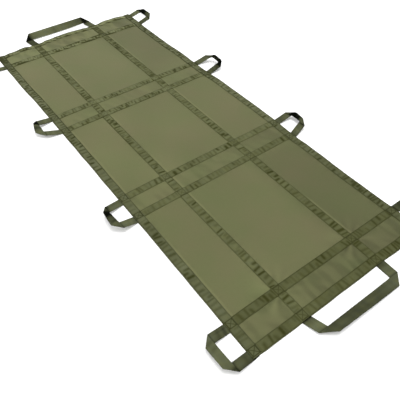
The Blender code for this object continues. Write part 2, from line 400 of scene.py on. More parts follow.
def math_node(tree, operation, *values):
    """A Math node with one or two inputs."""
    node = tree.nodes.new("ShaderNodeMath")
    node.operation = operation
    fill(tree, node, dict(enumerate(values)))
    return node.outputs[0]


def noise_node(tree, vector, scale, detail):
    """Procedural noise from 0 to 1."""
    node = tree.nodes.new("ShaderNodeTexNoise")
    fill(tree, node, {"Vector": vector, "Scale": scale, "Detail": detail})
    return node.outputs["Fac"]


def mix_colours(tree, factor, first, second, blend="MIX"):
    """A Mix node for colours, whose factor may pass 0 or 1."""
    node = tree.nodes.new("ShaderNodeMix")
    node.data_type = "RGBA"
    node.blend_type = blend
    node.clamp_factor = False
    fill(tree, node, {0: factor, 6: first, 7: second})
    return node.outputs[2]


def add_bump(tree, shader, height, distance, strength):
    """Fine relief, too small for the mesh."""
    node = tree.nodes.new("ShaderNodeBump")
    fill(tree, node, {"Strength": strength, "Distance": distance, "Height": height})
    fill(tree, shader, {"Normal": node.outputs[0]})


def shaded(tree, light, dark):
    """A colour that runs from light to dark with the mesh's shade value, which holds painted light too.
    """
    attribute = tree.nodes.new("ShaderNodeAttribute")
    attribute.attribute_name = "shade"
    return mix_colours(tree, attribute.outputs["Fac"], light, dark)


def scaled(tree, colour, level):
    """Multiplies a colour by a number."""
    grey = tree.nodes.new("ShaderNodeCombineColor")
    fill(tree, grey, dict.fromkeys(range(3), level))
    return mix_colours(tree, 1.0, colour, grey.outputs[0], "MULTIPLY")


def speckle(tree, colour, place, scale, spread):
    """Varies a colour's brightness with noise."""
    grain = noise_node(tree, place, scale, 2.0)
    level = math_node(tree, "MULTIPLY", grain, 2 * spread)
    return scaled(tree, colour, math_node(tree, "ADD", level, 1.0 - spread))


def cloth_material():
    """Plain woven cloth with a light coating."""
    material, tree, shader = new_material("litter_cloth", (0.133, 0.135, 0.063), 0.62, 0.20, 0.14)
    place = tree.nodes.new("ShaderNodeTexCoord").outputs["Object"]
    patches = noise_node(tree, place, 5.0, 3.0)
    contrast = tree.nodes.new("ShaderNodeMapRange")
    low, high = CLOTH_PATCHES
    fill(tree, contrast, {"From Min": low, "From Max": high, "Value": patches})
    light, dark = (mix_colours(tree, contrast.outputs[0], *pair) for pair in (CLOTH_LIGHT, CLOTH_DARK))
    colour = speckle(tree, shaded(tree, light, dark), place, 240.0, 0.05)
    fill(tree, shader, {"Base Color": colour})
    axes = tree.nodes.new("ShaderNodeSeparateXYZ")
    fill(tree, axes, {0: place})
    pitch = 2 * math.pi / CLOTH_WEAVE
    threads = []
    for axis in (X, Y):
        turn = math_node(tree, "MULTIPLY", axes.outputs[axis], pitch)
        threads.append(math_node(tree, "SINE", turn))
    add_bump(tree, shader, math_node(tree, "MULTIPLY", *threads), CLOTH_RELIEF, 0.35)
    return material


def webbing_material(name, light, dark, sheen, specular, warmth):
    """Flat webbing in a herringbone weave along the strap, that varies from warmer to cooler."""
    material, tree, shader = new_material(name, light, 0.70, sheen, specular)
    place = tree.nodes.new("ShaderNodeTexCoord")
    axes = tree.nodes.new("ShaderNodeSeparateXYZ")
    fill(tree, axes, {0: place.outputs["UV"]})
    along, across = axes.outputs[0], axes.outputs[1]
    band = math_node(tree, "PINGPONG", across, HERRINGBONE_BAND)
    slant = math_node(tree, "ADD", along, band)
    turn = math_node(tree, "MULTIPLY", slant, 2 * math.pi / TWILL_PITCH)
    twill = math_node(tree, "SINE", turn)
    hue = noise_node(tree, place.outputs["Object"], 55.0, 1.0)
    yellower = (light[0] * (1 + warmth), light[1] * (1 + 0.6 * warmth), light[2] * (1 - 2 * warmth))
    greyer = (light[0] * (1 - warmth), light[1] * (1 - 0.6 * warmth), light[2] * (1 + warmth))
    colour = shaded(tree, mix_colours(tree, hue, yellower, greyer), dark)
    ribs = math_node(tree, "ADD", math_node(tree, "MULTIPLY", twill, 0.07), 1.0)
    colour = scaled(tree, colour, ribs)
    colour = speckle(tree, colour, place.outputs["Object"], 320.0, 0.09)
    colour = speckle(tree, colour, place.outputs["Object"], 9.0, 0.14)
    fill(tree, shader, {"Base Color": colour})
    add_bump(tree, shader, twill, TWILL_RELIEF, 0.5)
    return material


def thread_material():
    """Twisted sewing thread, a little darker than the webbing."""
    material, tree, shader = new_material("thread", (0.026, 0.029, 0.012), 0.6, 0.1, 0.2)
    place = tree.nodes.new("ShaderNodeTexCoord").outputs["Object"]
    tone = noise_node(tree, place, 400.0, 1.0)
    fill(tree, shader, {"Base Color": mix_colours(tree, tone, *THREAD_COLOURS)})
    add_bump(tree, shader, tone, THREAD_RELIEF, 0.4)
    return material


CLOTH = cloth_material()
STRAP = webbing_material(
    "strap_webbing", (0.121, 0.129, 0.062), (0.0265, 0.0285, 0.0035), 0.06, 0.08, 0.07
)
EDGE = webbing_material(
    "edge_webbing", (0.123, 0.131, 0.071), (0.0245, 0.0275, 0.0045), 0.06, 0.08, 0.07
)
# The loops' dark colour is near black for the painted shade on their folds
LOOP = webbing_material("loop_webbing", (0.125, 0.135, 0.074), (0.0015, 0.002, 0.001), 0.0, 0.008, 0.09)
THREAD = thread_material()


# The cloth

CLOTH_SHADE = 0.25
# Steps between points, across and along the sheet and beside the straps
CLOTH_STEP_ACROSS = 0.0055
CLOTH_STEP_ALONG = 0.0065
CLOTH_FINE_STEP = 0.003
# How strong the painted shade and highlight of the crumpled cloth between the straps of each pair is,
# from the far end to the near one
CREASE_SHADES = (0.24, 0.09, 0.10, 0.13)
# Painted shade and highlight of the crumpled cloth round the near crossings
SPOKE_SHADE = 0.26
# A painted highlight on the cloth beside the lengthwise straps: its strength, and how far out it lies
RIDGE_HIGHLIGHT = 0.42
RIDGE_PLACE = 0.0036
# Gathers beside the straps: their height, their painted shade and how far they reach
PULL_HEIGHT = 0.00045
PULL_SHADE = 0.14
PULL_REACH = 0.009
# The corner of the sheet at the far left that turns down
CORNER_START = (-0.352, 0.890)


def stations(half, places, step, fine, reach):
    """Places from -half to half, closer together near the given places."""
    values = [-half]
    while values[-1] < half:
        gap = min(abs(values[-1] - place) for place in places)
        values.append(values[-1] + (fine if gap < reach else step))
    values[-1] = half
    if values[-1] - values[-2] < fine / 2:
        del values[-2]
    return np.array(values)


def both_edges(places):
    """The two edges of each strap."""
    return [place + side * STRAP_WIDTH / 2 for place in places for side in (1, -1)]


def crease_shading(x, y):
    """Painted shade and highlight of faint crumples between close straps and round the near crossings.
    """
    tone = np.zeros_like(x)
    for place, depth in zip(PAIR_PLACES, CREASE_SHADES):
        between = window(y - place, PAIR_SPACING / 2 - 0.010, 0.035)
        crumple = noise(x / 0.017 + 0.5 * np.sin(y * 22), y / 0.12, 61)
        crumple += 0.7 * noise(x / 0.021 + y / 0.030, y / 0.040, 62)
        tone += depth * between * np.tanh(2.0 * crumple)
    for place in LONG_STRAP_PLACES:
        reach, turn = about_crossing(x, y, place)
        tone += SPOKE_SHADE * line_at(reach - 0.050, 0.035) * noise(turn * 3.6, reach / 0.12, 63)
    return tone


def broad_painted_light(x, y):
    """Painted light: darker along the right side and toward the near end, lighter at the far left."""
    right, left = ease((x - 0.08) / 0.12), ease((-x - 0.08) / 0.12)
    near, far = ease((-y - 0.32) / 0.10), ease((y - 0.32) / 0.20)
    tone = right * (0.05 + 0.22 * near + 0.14 * far) - 0.08 * left * (1 - 0.7 * near)
    tone = tone + 0.08 * ease((-y - 0.55) / 0.30) * (1 - left)
    near_end, far_end = ease((-y - 0.86) / 0.03), ease((y - 0.86) / 0.03)
    tone = tone + near_end * (0.14 + 0.08 * (1 - left) - 0.18 * right)
    second, third = (window(y - place, 0.04, 0.03) for place in PAIR_PLACES[1:3])
    tone = tone + third * (0.04 + 0.14 * right) + 0.07 * right * second
    return tone + far_end * (0.06 - 0.20 * left - 0.06 * right)


def corner_tone(x, y):
    """The far left corner turns down, away from the light."""
    dark = ease((CORNER_START[0] - x) / 0.020) * ease((y - CORNER_START[1]) / 0.07)
    return dark * (0.45 + 0.95 * noise(x / 0.014, y / 0.018, 66))


def drawn_in(away, along, across, seed):
    """Small gathers in the cloth beside a sewn strap: their height, and their painted shade."""
    beyond = away - STRAP_WIDTH / 2
    beside = np.where(beyond > 0, np.exp(-beyond / PULL_REACH), 0.0)
    gather = noise(along / 0.010, across / 0.05, seed)
    return PULL_HEIGHT * beside * (1 + gather), PULL_SHADE * beside * (0.3 + gather)


def ridge_highlight(x, y, place):
    """A painted highlight on the cloth that stands up along the right edge of a lengthwise strap."""
    ridge = line_at(x - place - STRAP_WIDTH / 2 - RIDGE_PLACE, 0.0032)
    return RIDGE_HIGHLIGHT * ridge * ease(0.6 + 1.5 * noise(y / 0.19, place * 40, 53))


def sewn_cloth(x, y):
    """How far the straps' seams pull the cloth up, and the cloth's shade: own tone with painted light.
    """
    shade = CLOTH_SHADE + 0.07 * noise(x / 0.16, y / 0.20, 57)
    shade += broad_painted_light(x, y) + crease_shading(x, y) + corner_tone(x, y)
    pulled = np.zeros_like(x)
    for place in LONG_STRAP_PLACES + EDGE_STRAP_PLACES:
        lift, tone = drawn_in(np.abs(x - place), y, x, 51)
        pulled += lift
        shade += tone - ridge_highlight(x, y, place)
    for place in CROSS_STRAP_PLACES:
        lift, tone = drawn_in(np.abs(y - place), x, y, 52)
        pulled += lift
        shade += tone
    return pulled, np.clip(shade, 0, 1)


def make_cloth():
    """The sheet: a thin closed body that follows the cloth's height."""
    edges = both_edges(LONG_STRAP_PLACES)
    edges += [place - math.copysign(STRAP_WIDTH / 2, place) for place in EDGE_STRAP_PLACES]
    x = stations(HALF_WIDTH, edges, CLOTH_STEP_ACROSS, CLOTH_FINE_STEP, 0.016)
    y = stations(HALF_LENGTH, both_edges(CROSS_STRAP_PLACES), CLOTH_STEP_ALONG, CLOTH_FINE_STEP, 0.020)
    grid_y, grid_x = np.meshgrid(y, x, indexing="ij")
    pulled, shade = sewn_cloth(grid_x, grid_y)
    height = cloth_height(grid_x, grid_y) + pulled * (1 - near_root(grid_x, grid_y))
    middle = np.stack([*drifted(grid_x, grid_y), height + SHEET_THICKNESS / 2], axis=2)
    uvs = np.stack([grid_x, grid_y], axis=2)
    thin = np.full(height.shape, SHEET_THICKNESS / 2)
    cloth = slab("cloth", middle, thin, CLOTH, uvs, shade)
    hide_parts("litter_sheet")
    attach(cloth, "litter")
    return cloth


# Straps

# How strongly each cross strap is puckered, and how dark it is, from the far end to the near one.
# The tones hold painted light: a painted sheen lightens the far straps, and the near ones are darker
CROSS_STRAP_PUCKERS = (1.0, 1.2, 1.2, 1.2, 1.25, 1.15, 0.75, 0.85)
CROSS_STRAP_TONES = (-0.14, 0.04, 0.27, 0.32, 0.41, 0.44, 0.55, 0.53)
RIM = 0.0170
STITCH_LINE = 0.0148
BOX_HALF = 0.0128
BOX_LINE = 0.0012
# Puffed crowns between the folds: their height, and the painted highlight on them
PUFF_HEIGHT = 0.00045
PUFF_HIGHLIGHT = 110.0
# How far a painted highlight may go past the light colour
LIGHTEST = -0.35
TOP = 0.0015
SEAM_DEPTH = 0.0007
SEAM_HALF = 0.0015
OUTER_SEAM_HALF = 0.0024
EDGE_DEPTH = 0.0009
EDGE_START = 0.0158
EDGE_ROLL = 0.0012
BOX_DEPTH = 0.00035
BOX_SOFT = 0.0008
CROSSING_SOFT = 0.003
CROSSED_DEPTH = 0.0002
GATHER_HALF = 0.0062
GATHER_WANDER = 0.0025
CLIMB_HEIGHT = 0.00135
CLIMB_LENGTH = 0.008
HIDDEN_END = 0.013
ROW_STEP = 0.0023
FINE_STEP = 0.0011
UNDERSIDE = -0.00008
UNDER_PLACES = (0.0165, 0.0, -0.0165)
EDGE_COLUMNS = (0.0154, 0.0160, 0.0166, RIM)
INNER_COLUMNS = 23
COLUMNS = np.array([
    *(-place for place in reversed(EDGE_COLUMNS)),
    *np.linspace(-STITCH_LINE, STITCH_LINE, INNER_COLUMNS),
    *EDGE_COLUMNS,
])
# Short folds between the seams: spacing, width, skew and strength as ranges, and how much wider and
# farther apart they are in the near half
FOLD_SPACING = (0.0070, 0.0215)
FOLD_WIDTH = (0.0026, 0.0052)
FOLD_SKEW = (-0.22, 0.22)
FOLD_STRENGTH = (0.25, 1.0)
FOLD_DEPTH = 0.0005
FAR_FOLDS_DEEPER = 0.00035
FOLD_REACH = 0.0185
FOLD_STOP = 0.0130
FOLD_FADE = 0.0018
ONE_SIDED_REACH = (0.023, 0.031)
NEAR_FOLDS_WIDER = 1.30
FAR_SIDES = (-1, -1, 0, 1, 1)
NEAR_SIDES = (-1, 0, 0, 0, 1)


def puckers(along, across, row, seed):
    """Short folds that the sewing makes between a strap's two seams, from 0 to 1.

    In the far half most of them start at one seam and end before the other. Row is a cross strap's
    place along the sheet, and None for a lengthwise strap.
    """
    rng = np.random.default_rng(seed)
    folds = np.zeros(np.broadcast(along, across).shape)
    place = along.min()
    while place < along.max():
        wider = NEAR_FOLDS_WIDER if (place if row is None else row) < 0 else 1.0
        place += wider * rng.uniform(*FOLD_SPACING)
        width = wider * rng.uniform(*FOLD_WIDTH)
        skew = rng.uniform(*FOLD_SKEW)
        strength = rng.uniform(*FOLD_STRENGTH)
        side = rng.choice(FAR_SIDES if (place if row is None else row) > 0 else NEAR_SIDES)
        reach = np.abs(across) if side == 0 else STITCH_LINE - side * across
        limit = FOLD_REACH if side == 0 else rng.uniform(*ONE_SIDED_REACH)
        length = 1 - ease((reach - 0.5 * limit) / (0.5 * limit))
        fold = line_at(along - place - skew * across, width) * length * strength
        folds = np.maximum(folds, fold)
    calm = 0.58 + 0.42 * ease(0.7 + 1.3 * noise(along / 0.075, 0 * along, seed + 7))
    return folds * calm * (1 - ease((np.abs(across) - FOLD_STOP) / FOLD_FADE))


def climb(along, crossed):
    """How far a strap is lifted by the ones that it passes over."""
    height = np.zeros_like(along)
    for centre in crossed:
        beyond = np.abs(along - centre) - STRAP_WIDTH / 2
        height = np.maximum(height, CLIMB_HEIGHT * (1 - ease(beyond / CLIMB_LENGTH)))
    return height


class Strap:
    """A strap sewn to the cloth: across it, along it, or along one of its edges."""

    def __init__(self, kind, which, place, half_length, seed, level, tone):
        """Which is a side or a number, and level is how strongly the strap is puckered."""
        self.kind, self.name, self.node = kind, f"webbing_{kind}_{which}", f"{kind}_strap_{which}"
        self.place, self.half_length, self.seed = place, half_length, seed
        self.level, self.tone, self.material = level, tone, EDGE if kind == "edge" else STRAP
        self.end_strap, self.first_pair, self.last_pair = which == 1, which in (1, 2), which in (7, 8)
        self.over = {"edge": CROSS_STRAP_PLACES, "long": (), "cross": LONG_STRAP_PLACES}[kind]
        self.under = {"edge": (), "long": CROSS_STRAP_PLACES, "cross": EDGE_STRAP_PLACES}[kind]
        # Painted shade on the box lines, and how much darker the strap is where it passes over others
        self.box_shade = 0.40 if kind == "cross" and not self.first_pair else 0.75
        self.over_tone = 0.42 if self.first_pair else 0.0 if kind == "cross" else 0.08

    def plan(self, along, across):
        """Where a place on the strap is, seen from above."""
        if self.kind == "cross":
            return along, self.place + across
        return self.place + across, along

    def crossing(self, along, centres):
        """1 where the strap crosses others, 0 elsewhere."""
        return sum((window(along - centre, RIM, CROSSING_SOFT) for centre in centres), 0 * along)

    def boxes(self, along, across):
        """1 on the lines of the boxes sewn where this strap passes over others."""
        lines = 0 * along
        for centre in self.over:
            u, v = np.abs(along - centre), np.abs(across)
            inside = 1 - ease((np.maximum(u, v) - BOX_HALF) / BOX_SOFT)
            ends = line_at(u - BOX_HALF, BOX_LINE)
            sides = line_at(v - BOX_HALF, BOX_LINE) * (u < BOX_HALF)
            cross = line_at(u - v, BOX_LINE) * inside
            lines = np.maximum(lines, np.maximum(np.maximum(ends, sides), cross) * (u < RIM))
        return lines

    def tone_and_painted_light(self, x, y, along, across, far):
        """The strap's tone before its folds and seams.

        Its blotches are the webbing's own tone. The broad gradients along and across the sheet, and the
        far left corner, are painted light and shade.
        """
        tone = self.tone + 0.07 * ease((-y - 0.3) / 0.6)
        if self.kind != "cross":
            tone += 0.10 * ease(x / 0.15) * ease((-y - 0.05) / 0.40)
        if self.kind == "edge":
            tone -= 0.08 * far
        if self.kind == "long":
            tone += 0.22 * ease((y - 0.87) / 0.02)
        if self.end_strap:
            tone -= 0.80 * x
        blotch = 0.08 if self.last_pair else 0.13 + 0.09 * far
        tone += blotch * noise(along / 0.035, across / 0.03, self.seed + 2)
        return tone + 0.12 * self.last_pair * x + corner_tone(x, y)

    def gathers(self, along, across):
        """Painted shade of gathers along the seams of the two straps at the far end, broken and uneven.
        """
        if not self.first_pair:
            return 0.0
        side = np.sign(across)
        broken = noise(along / 0.015 + 0.3 * across / 0.002, 5.0 * side, self.seed + 4)
        wander = GATHER_WANDER * noise(along / 0.020, 7.0 * side, self.seed + 5)
        line = line_at(np.abs(across) - BOX_HALF + wander, GATHER_HALF)
        return 1.50 * line * ease((broken + 0.05) / 0.30)

    def top(self, along, across):
        """Height and shade of the strap's top face."""
        x, y = self.plan(along, across)
        under, over = self.crossing(along, self.under), self.crossing(along, self.over)
        loose = (1 - under) * (1 - 0.8 * over)
        far = ease((y + 0.6) / 1.5)
        away = np.abs(across)
        row = self.place if self.kind == "cross" else None
        folds = puckers(along, across, row, self.seed) * loose * self.level
        seam = line_at(away - STITCH_LINE, SEAM_HALF)
        seam *= 0.75 + (0.3 + 0.50 * far) * noise(along / 0.014, 3 * np.sign(across), self.seed + 3)
        edge = ease((away - EDGE_START) / EDGE_ROLL)
        box = self.boxes(along, across)
        crown = 1 - np.clip(away / STITCH_LINE, 0, 1) ** 2
        puff = PUFF_HEIGHT * (1 + noise(along / 0.019, across / 0.02, self.seed + 1)) * loose
        height = TOP - SEAM_DEPTH * seam - EDGE_DEPTH * edge - BOX_DEPTH * box + crown * puff
        height -= (FOLD_DEPTH + FAR_FOLDS_DEEPER * far) * np.minimum(folds, 1.0)
        height -= CROSSED_DEPTH * under
        if self.kind == "edge":
            folds *= 1 + 1.1 * far
            outer = across * np.sign(self.place) + STITCH_LINE
            seam = seam + 0.5 * far * line_at(outer, OUTER_SEAM_HALF)
        # Painted shade in the folds, seam grooves, rolled edges, box lines and far gathers, and a
        # painted highlight on the puffed crowns
        shade = self.tone_and_painted_light(x, y, along, across, far) + self.gathers(along, across)
        shade += (0.59 + 0.56 * far) * folds + (0.30 + 0.45 * far) * seam + (0.22 + 0.12 * far) * edge
        shade += self.box_shade * box + self.over_tone * over
        shade -= PUFF_HIGHLIGHT * (0.6 + 0.4 * far) * crown * puff
        base = cloth_height(x, y) + SHEET_THICKNESS + climb(along, self.over)
        return base + height, np.clip(shade, LIGHTEST, 1)

    def rows(self):
        """Places along the strap, closer together at its boxes."""
        places = [-self.half_length]
        while places[-1] < self.half_length:
            at_box = any(abs(places[-1] - centre) < RIM for centre in self.over)
            places.append(places[-1] + (FINE_STEP if at_box else ROW_STEP))
        places[-1] = self.half_length
        return np.array(places)

    def build(self):
        """A closed body: the shaped top, and a plain underside that rests on the cloth."""
        along = self.rows()
        grid_s, grid_a = np.meshgrid(along, COLUMNS, indexing="ij")
        top, shade = self.top(grid_s, grid_a)
        under_s, under_a = np.meshgrid(along, UNDER_PLACES, indexing="ij")
        bottom = cloth_height(*self.plan(under_s, under_a)) + SHEET_THICKNESS + UNDERSIDE
        bottom = bottom + climb(under_s, self.over)
        all_s = np.concatenate([grid_s, under_s], axis=1)
        all_a = np.concatenate([grid_a, under_a], axis=1)
        heights = np.concatenate([top, bottom], axis=1)
        shades = np.concatenate([shade, np.full_like(bottom, 0.5)], axis=1)
        points = np.stack([*drifted(*self.plan(all_s, all_a)), heights], axis=2).reshape(-1, 3)
        uvs = np.stack([all_s, all_a], axis=2).reshape(-1, 2)
        faces = tube_faces(*all_s.shape, flip=self.kind != "cross")
        piece = make_object(self.name, points, faces, self.material, uvs, shades.ravel())
        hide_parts(self.node)
        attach(piece, "litter")
        return piece

    def surface(self, along, across):
        """Points on the strap's top face, for the stitching."""
        top, _ = self.top(along, across)
        return np.stack([*drifted(*self.plan(along, across)), top], axis=-1)


def list_straps():
    """The two edge straps, the two long straps and the eight cross straps."""
    straps = [
        Strap("edge", side, place, EDGE_STRAP_HALF_LENGTH, seed, 0.95, 0.42)
        for side, place, seed in zip(SIDES, EDGE_STRAP_PLACES, (99, 101))
    ]
    straps += [
        Strap("long", side, place, HALF_LENGTH - HIDDEN_END, 110 + number, 1.35, 0.36)
        for number, (side, place) in enumerate(zip(SIDES, LONG_STRAP_PLACES))
    ]
    looks = zip(CROSS_STRAP_PLACES, CROSS_STRAP_PUCKERS, CROSS_STRAP_TONES)
    straps += [
        Strap("cross", number, place, HALF_WIDTH - HIDDEN_END, 120 + number, level, tone)
        for number, (place, level, tone) in enumerate(looks, start=1)
    ]
    return straps


# Stitching

STITCH_PITCH = 0.0042
STITCH_LENGTH = 0.0034
STITCH_WIDTH = 0.0008
STITCH_HEIGHT = 0.0004
STITCH_SUNK = 0.00015
STITCH_TAPER = 0.22
STITCH_FACES = ((0, 3, 5, 4), (1, 4, 5, 2), (0, 4, 1), (2, 5, 3))
SEAM_END = 0.003


def sewing_runs(strap):
    """The straight runs of a strap's sewing: its two seams, and a box with a cross at each crossing."""
    reach = strap.half_length - SEAM_END
    runs = [((-reach, side * STITCH_LINE), (reach, side * STITCH_LINE)) for side in (-1, 1)]
    for centre in strap.over:
        low, high = centre - BOX_HALF, centre + BOX_HALF
        box = [(low, -BOX_HALF), (high, -BOX_HALF), (high, BOX_HALF), (low, BOX_HALF)]
        runs += list(zip(box, box[1:] + box[:1]))
        runs += [(box[0], box[2]), (box[1], box[3])]
    return runs


def stitch_ends(strap, start, end):
    """Each stitch of a straight run of sewing as two ends on the strap's top face."""
    start, end = np.array(start), np.array(end)
    length = np.linalg.norm(end - start)
    count = max(int(length / STITCH_PITCH), 1)
    middles = (np.arange(count) + 0.5) / count
    half = STITCH_LENGTH / 2 / length
    ends = []
    for share in (middles - half, middles + half):
        plan = start + (end - start) * share[:, None]
        ends.append(strap.surface(plan[:, 0], plan[:, 1]))
    return ends


def make_stitching(straps):
    """All the stitches, each a low ridge of thread sunk a little into the webbing."""
    stitches = [stitch_ends(strap, *run) for strap in straps for run in sewing_runs(strap)]
    first, last = (np.concatenate(ends) for ends in zip(*stitches))
    run = last - first
    run /= np.linalg.norm(run, axis=1, keepdims=True)
    side = np.cross(run, (0.0, 0.0, 1.0)) * STITCH_WIDTH / 2
    up = np.array((0.0, 0.0, STITCH_HEIGHT))
    sunk = np.array((0.0, 0.0, -STITCH_SUNK))
    inset = run * STITCH_LENGTH * STITCH_TAPER
    foot = [first - side + sunk, first + side + sunk, last + side + sunk, last - side + sunk]
    crest = [first + inset + up, last - inset + up]
    points = np.stack(foot + crest, axis=1).reshape(-1, 3)
    count = len(foot + crest)
    faces = [
        tuple(start + corner for corner in face[::-1])
        for start in range(0, len(points), count) for face in STITCH_FACES
    ]
    piece = make_object("stitching", points, faces, THREAD)
    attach(piece, "litter")
    return piece


# Loops and handles

ROOT_UNDER = 0.0185
ROOT_BEND = 0.008
BEND_STEPS = 56
GRIP_SAG = 0.015
LOOP_SELVAGE = 0.0012
SELVAGE_THINNER = 0.55
CUP_DEPTH = 0.0006
LOOP_EDGE_COLUMNS = (0.002, 0.0007, 0.0)
# A loop's root bends over this stretch, inside and outside of its hinge axis
# Rows of a loop's webbing: under the strap, at the root, on each leg, beside each fold and on it
HIDDEN_ROWS = 3
ROOT_ROWS = 9
LEG_ROWS = 7
FOLD_ROWS = 9
ROOT_START = 0.003
ROOT_END = 0.010
FOLD_RUN = 0.9

# The spacing of a loop's legs, the webbing's width, the legs' length from the hinge axis, how many rows
# its grip has, and how uneven its tone is
LoopSize = namedtuple("LoopSize", "spacing width leg grip_rows streaks")
SIDE_LOOP = LoopSize(PAIR_SPACING, STRAP_WIDTH, LOOP_LEG - HINGE_PAST_EDGE, 6, 0.17)
END_HANDLE = LoopSize(LONG_STRAP_SPACING, HANDLE_WIDTH, HANDLE_LEG - HINGE_PAST_EDGE, 18, 0.07)


def fold_over(beyond):
    """Folds webbing back over itself about a line: the new distance from it and the height."""
    radius = LAYER / 2
    half_turn = math.pi * radius / 2
    turn = np.clip((beyond + half_turn) / radius, 0.0, math.pi)
    away = np.where(beyond <= -half_turn, beyond, radius * np.sin(turn) - half_turn)
    away = np.where(beyond >= half_turn, -beyond, away)
    return away, radius * (1.0 - np.cos(turn))


def flat_loop(along, across, spacing, corner):
    """The loop laid flat: places along the edge and out from it, and the height over the legs."""
    root_two = math.sqrt(2.0)
    fold_zone = math.pi * LAYER / 4
    past = (along - corner - spacing + across) / root_two
    beside = (along - corner - spacing - across) / root_two
    beyond, height = fold_over(past)
    outward = corner + (beyond - beside) / root_two
    second = spacing / 2 + (beside + beyond) / root_two, outward, LAYER - height
    beside = (along - corner + across) / root_two
    beyond, height = fold_over((along - corner - across) / root_two)
    outward = corner + (beside + beyond) / root_two
    first = -spacing / 2 + (beside - beyond) / root_two, outward, height
    return [np.where(past > -fold_zone, s, f) for s, f in zip(second, first)]


def loop_rows(size, corner):
    """Rows of a loop's webbing as (place, skew): square at the roots, at 45 degrees on the folds."""
    fold_half = math.pi * LAYER / 4 * math.sqrt(2.0)
    turn = size.width * FOLD_RUN
    total = 2 * corner + size.spacing
    first_in, first_out = corner - fold_half, corner + fold_half
    second_in, second_out = corner + size.spacing - fold_half, corner + size.spacing + fold_half
    place, skew = -ROOT_UNDER, 0.0
    rows = [(place, skew)]
    for next_place, next_skew, count in (
        (-ROOT_START, 0, HIDDEN_ROWS),
        (ROOT_END, 0, ROOT_ROWS),
        (first_in - turn, 0, LEG_ROWS),
        (first_in, 1, FOLD_ROWS),
        (first_out, 1, FOLD_ROWS),
        (first_out + turn, 0, FOLD_ROWS),
        (second_in - turn, 0, size.grip_rows),
        (second_in, -1, FOLD_ROWS),
        (second_out, -1, FOLD_ROWS),
        (second_out + turn, 0, FOLD_ROWS),
        (total - ROOT_END, 0, LEG_ROWS),
        (total + ROOT_START, 0, ROOT_ROWS),
        (total + ROOT_UNDER, 0, HIDDEN_ROWS),
    ):
        shares = np.arange(1, count + 1) / count
        places = place + (next_place - place) * shares
        rows.extend(zip(places, skew + (next_skew - skew) * shares))
        place, skew = next_place, next_skew
    return np.array(rows)


def slope_at(place, leg, leg_slope, grip_slope):
    """The webbing's slope at a distance out from the hinge axis."""
    start = leg - GRIP_BEND_LENGTH / 2
    bend = ease((place - start) / GRIP_BEND_LENGTH)
    root = ease((place + 0.001) / ROOT_BEND)
    return leg_slope * root + (grip_slope - leg_slope) * bend


def rise(outward, height, leg, leg_slope, grip_slope):
    """Bends the flat loop upwards, from flat at the sheet's edge."""
    shares = (np.arange(BEND_STEPS) + 0.5) / BEND_STEPS
    run = outward + ROOT_UNDER
    places = -ROOT_UNDER + run[..., None] * shares
    slopes = slope_at(places, leg, leg_slope[..., None], grip_slope[..., None])
    reach = -ROOT_UNDER + run * np.cos(slopes).mean(axis=-1)
    lift = run * np.sin(slopes).mean(axis=-1)
    slope = slope_at(outward, leg, leg_slope, grip_slope)
    return reach - height * np.sin(slope), lift + height * np.cos(slope)


def curled(outward, height, across, bend, half):
    """Curls a grip across its width about its outer edge, which stays in place."""
    bend = np.maximum(bend, 1e-4)
    place = across / half
    middle = outward - across
    narrower = half * np.sin(bend * place) / bend + half * (1 - np.sin(bend) / bend)
    return middle + narrower, height + half * (np.cos(bend * place) - np.cos(bend)) / bend


